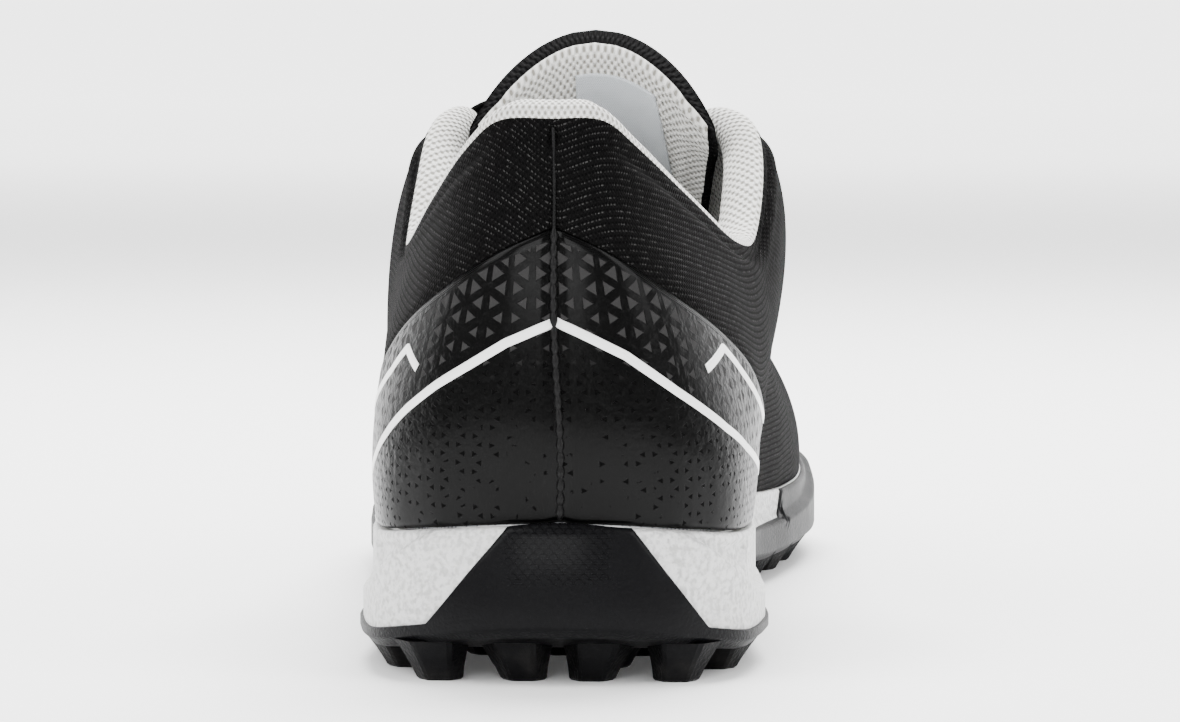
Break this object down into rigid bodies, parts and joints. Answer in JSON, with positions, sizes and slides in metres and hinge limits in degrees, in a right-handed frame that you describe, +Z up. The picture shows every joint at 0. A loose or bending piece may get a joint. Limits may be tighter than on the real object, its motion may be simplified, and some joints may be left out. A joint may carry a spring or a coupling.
{
  "type": "turf shoe",
  "caption": "Turf shoe for the left foot: black synthetic upper with a padded collar and laces, white foam midsole and a black rubber outsole with lugs.",
  "frame": {"origin": "on the ground, under the middle of the shoe's bounding box", "axes": "+Z up, +Y from the heel to the toe, +X towards the inner side of the left foot"},
  "size_m": [0.093, 0.2898, 0.113],
  "materials": {
    "rubber": "matt, moulded",
    "foam": "fine grained foam",
    "sock_liner": "brushed textile",
    "textile": "coated weave",
    "film": "glossy film",
    "padding": "knitted mesh",
    "cord": "flat braid"
  },
  "bodies": {
    "root": {"outsole": "rubber", "midsole": "foam", "insole": "sock_liner", "upper": "textile", "heel_counter": "film", "tongue": "padding", "lace": "cord"}
  },
  "joints": []
}
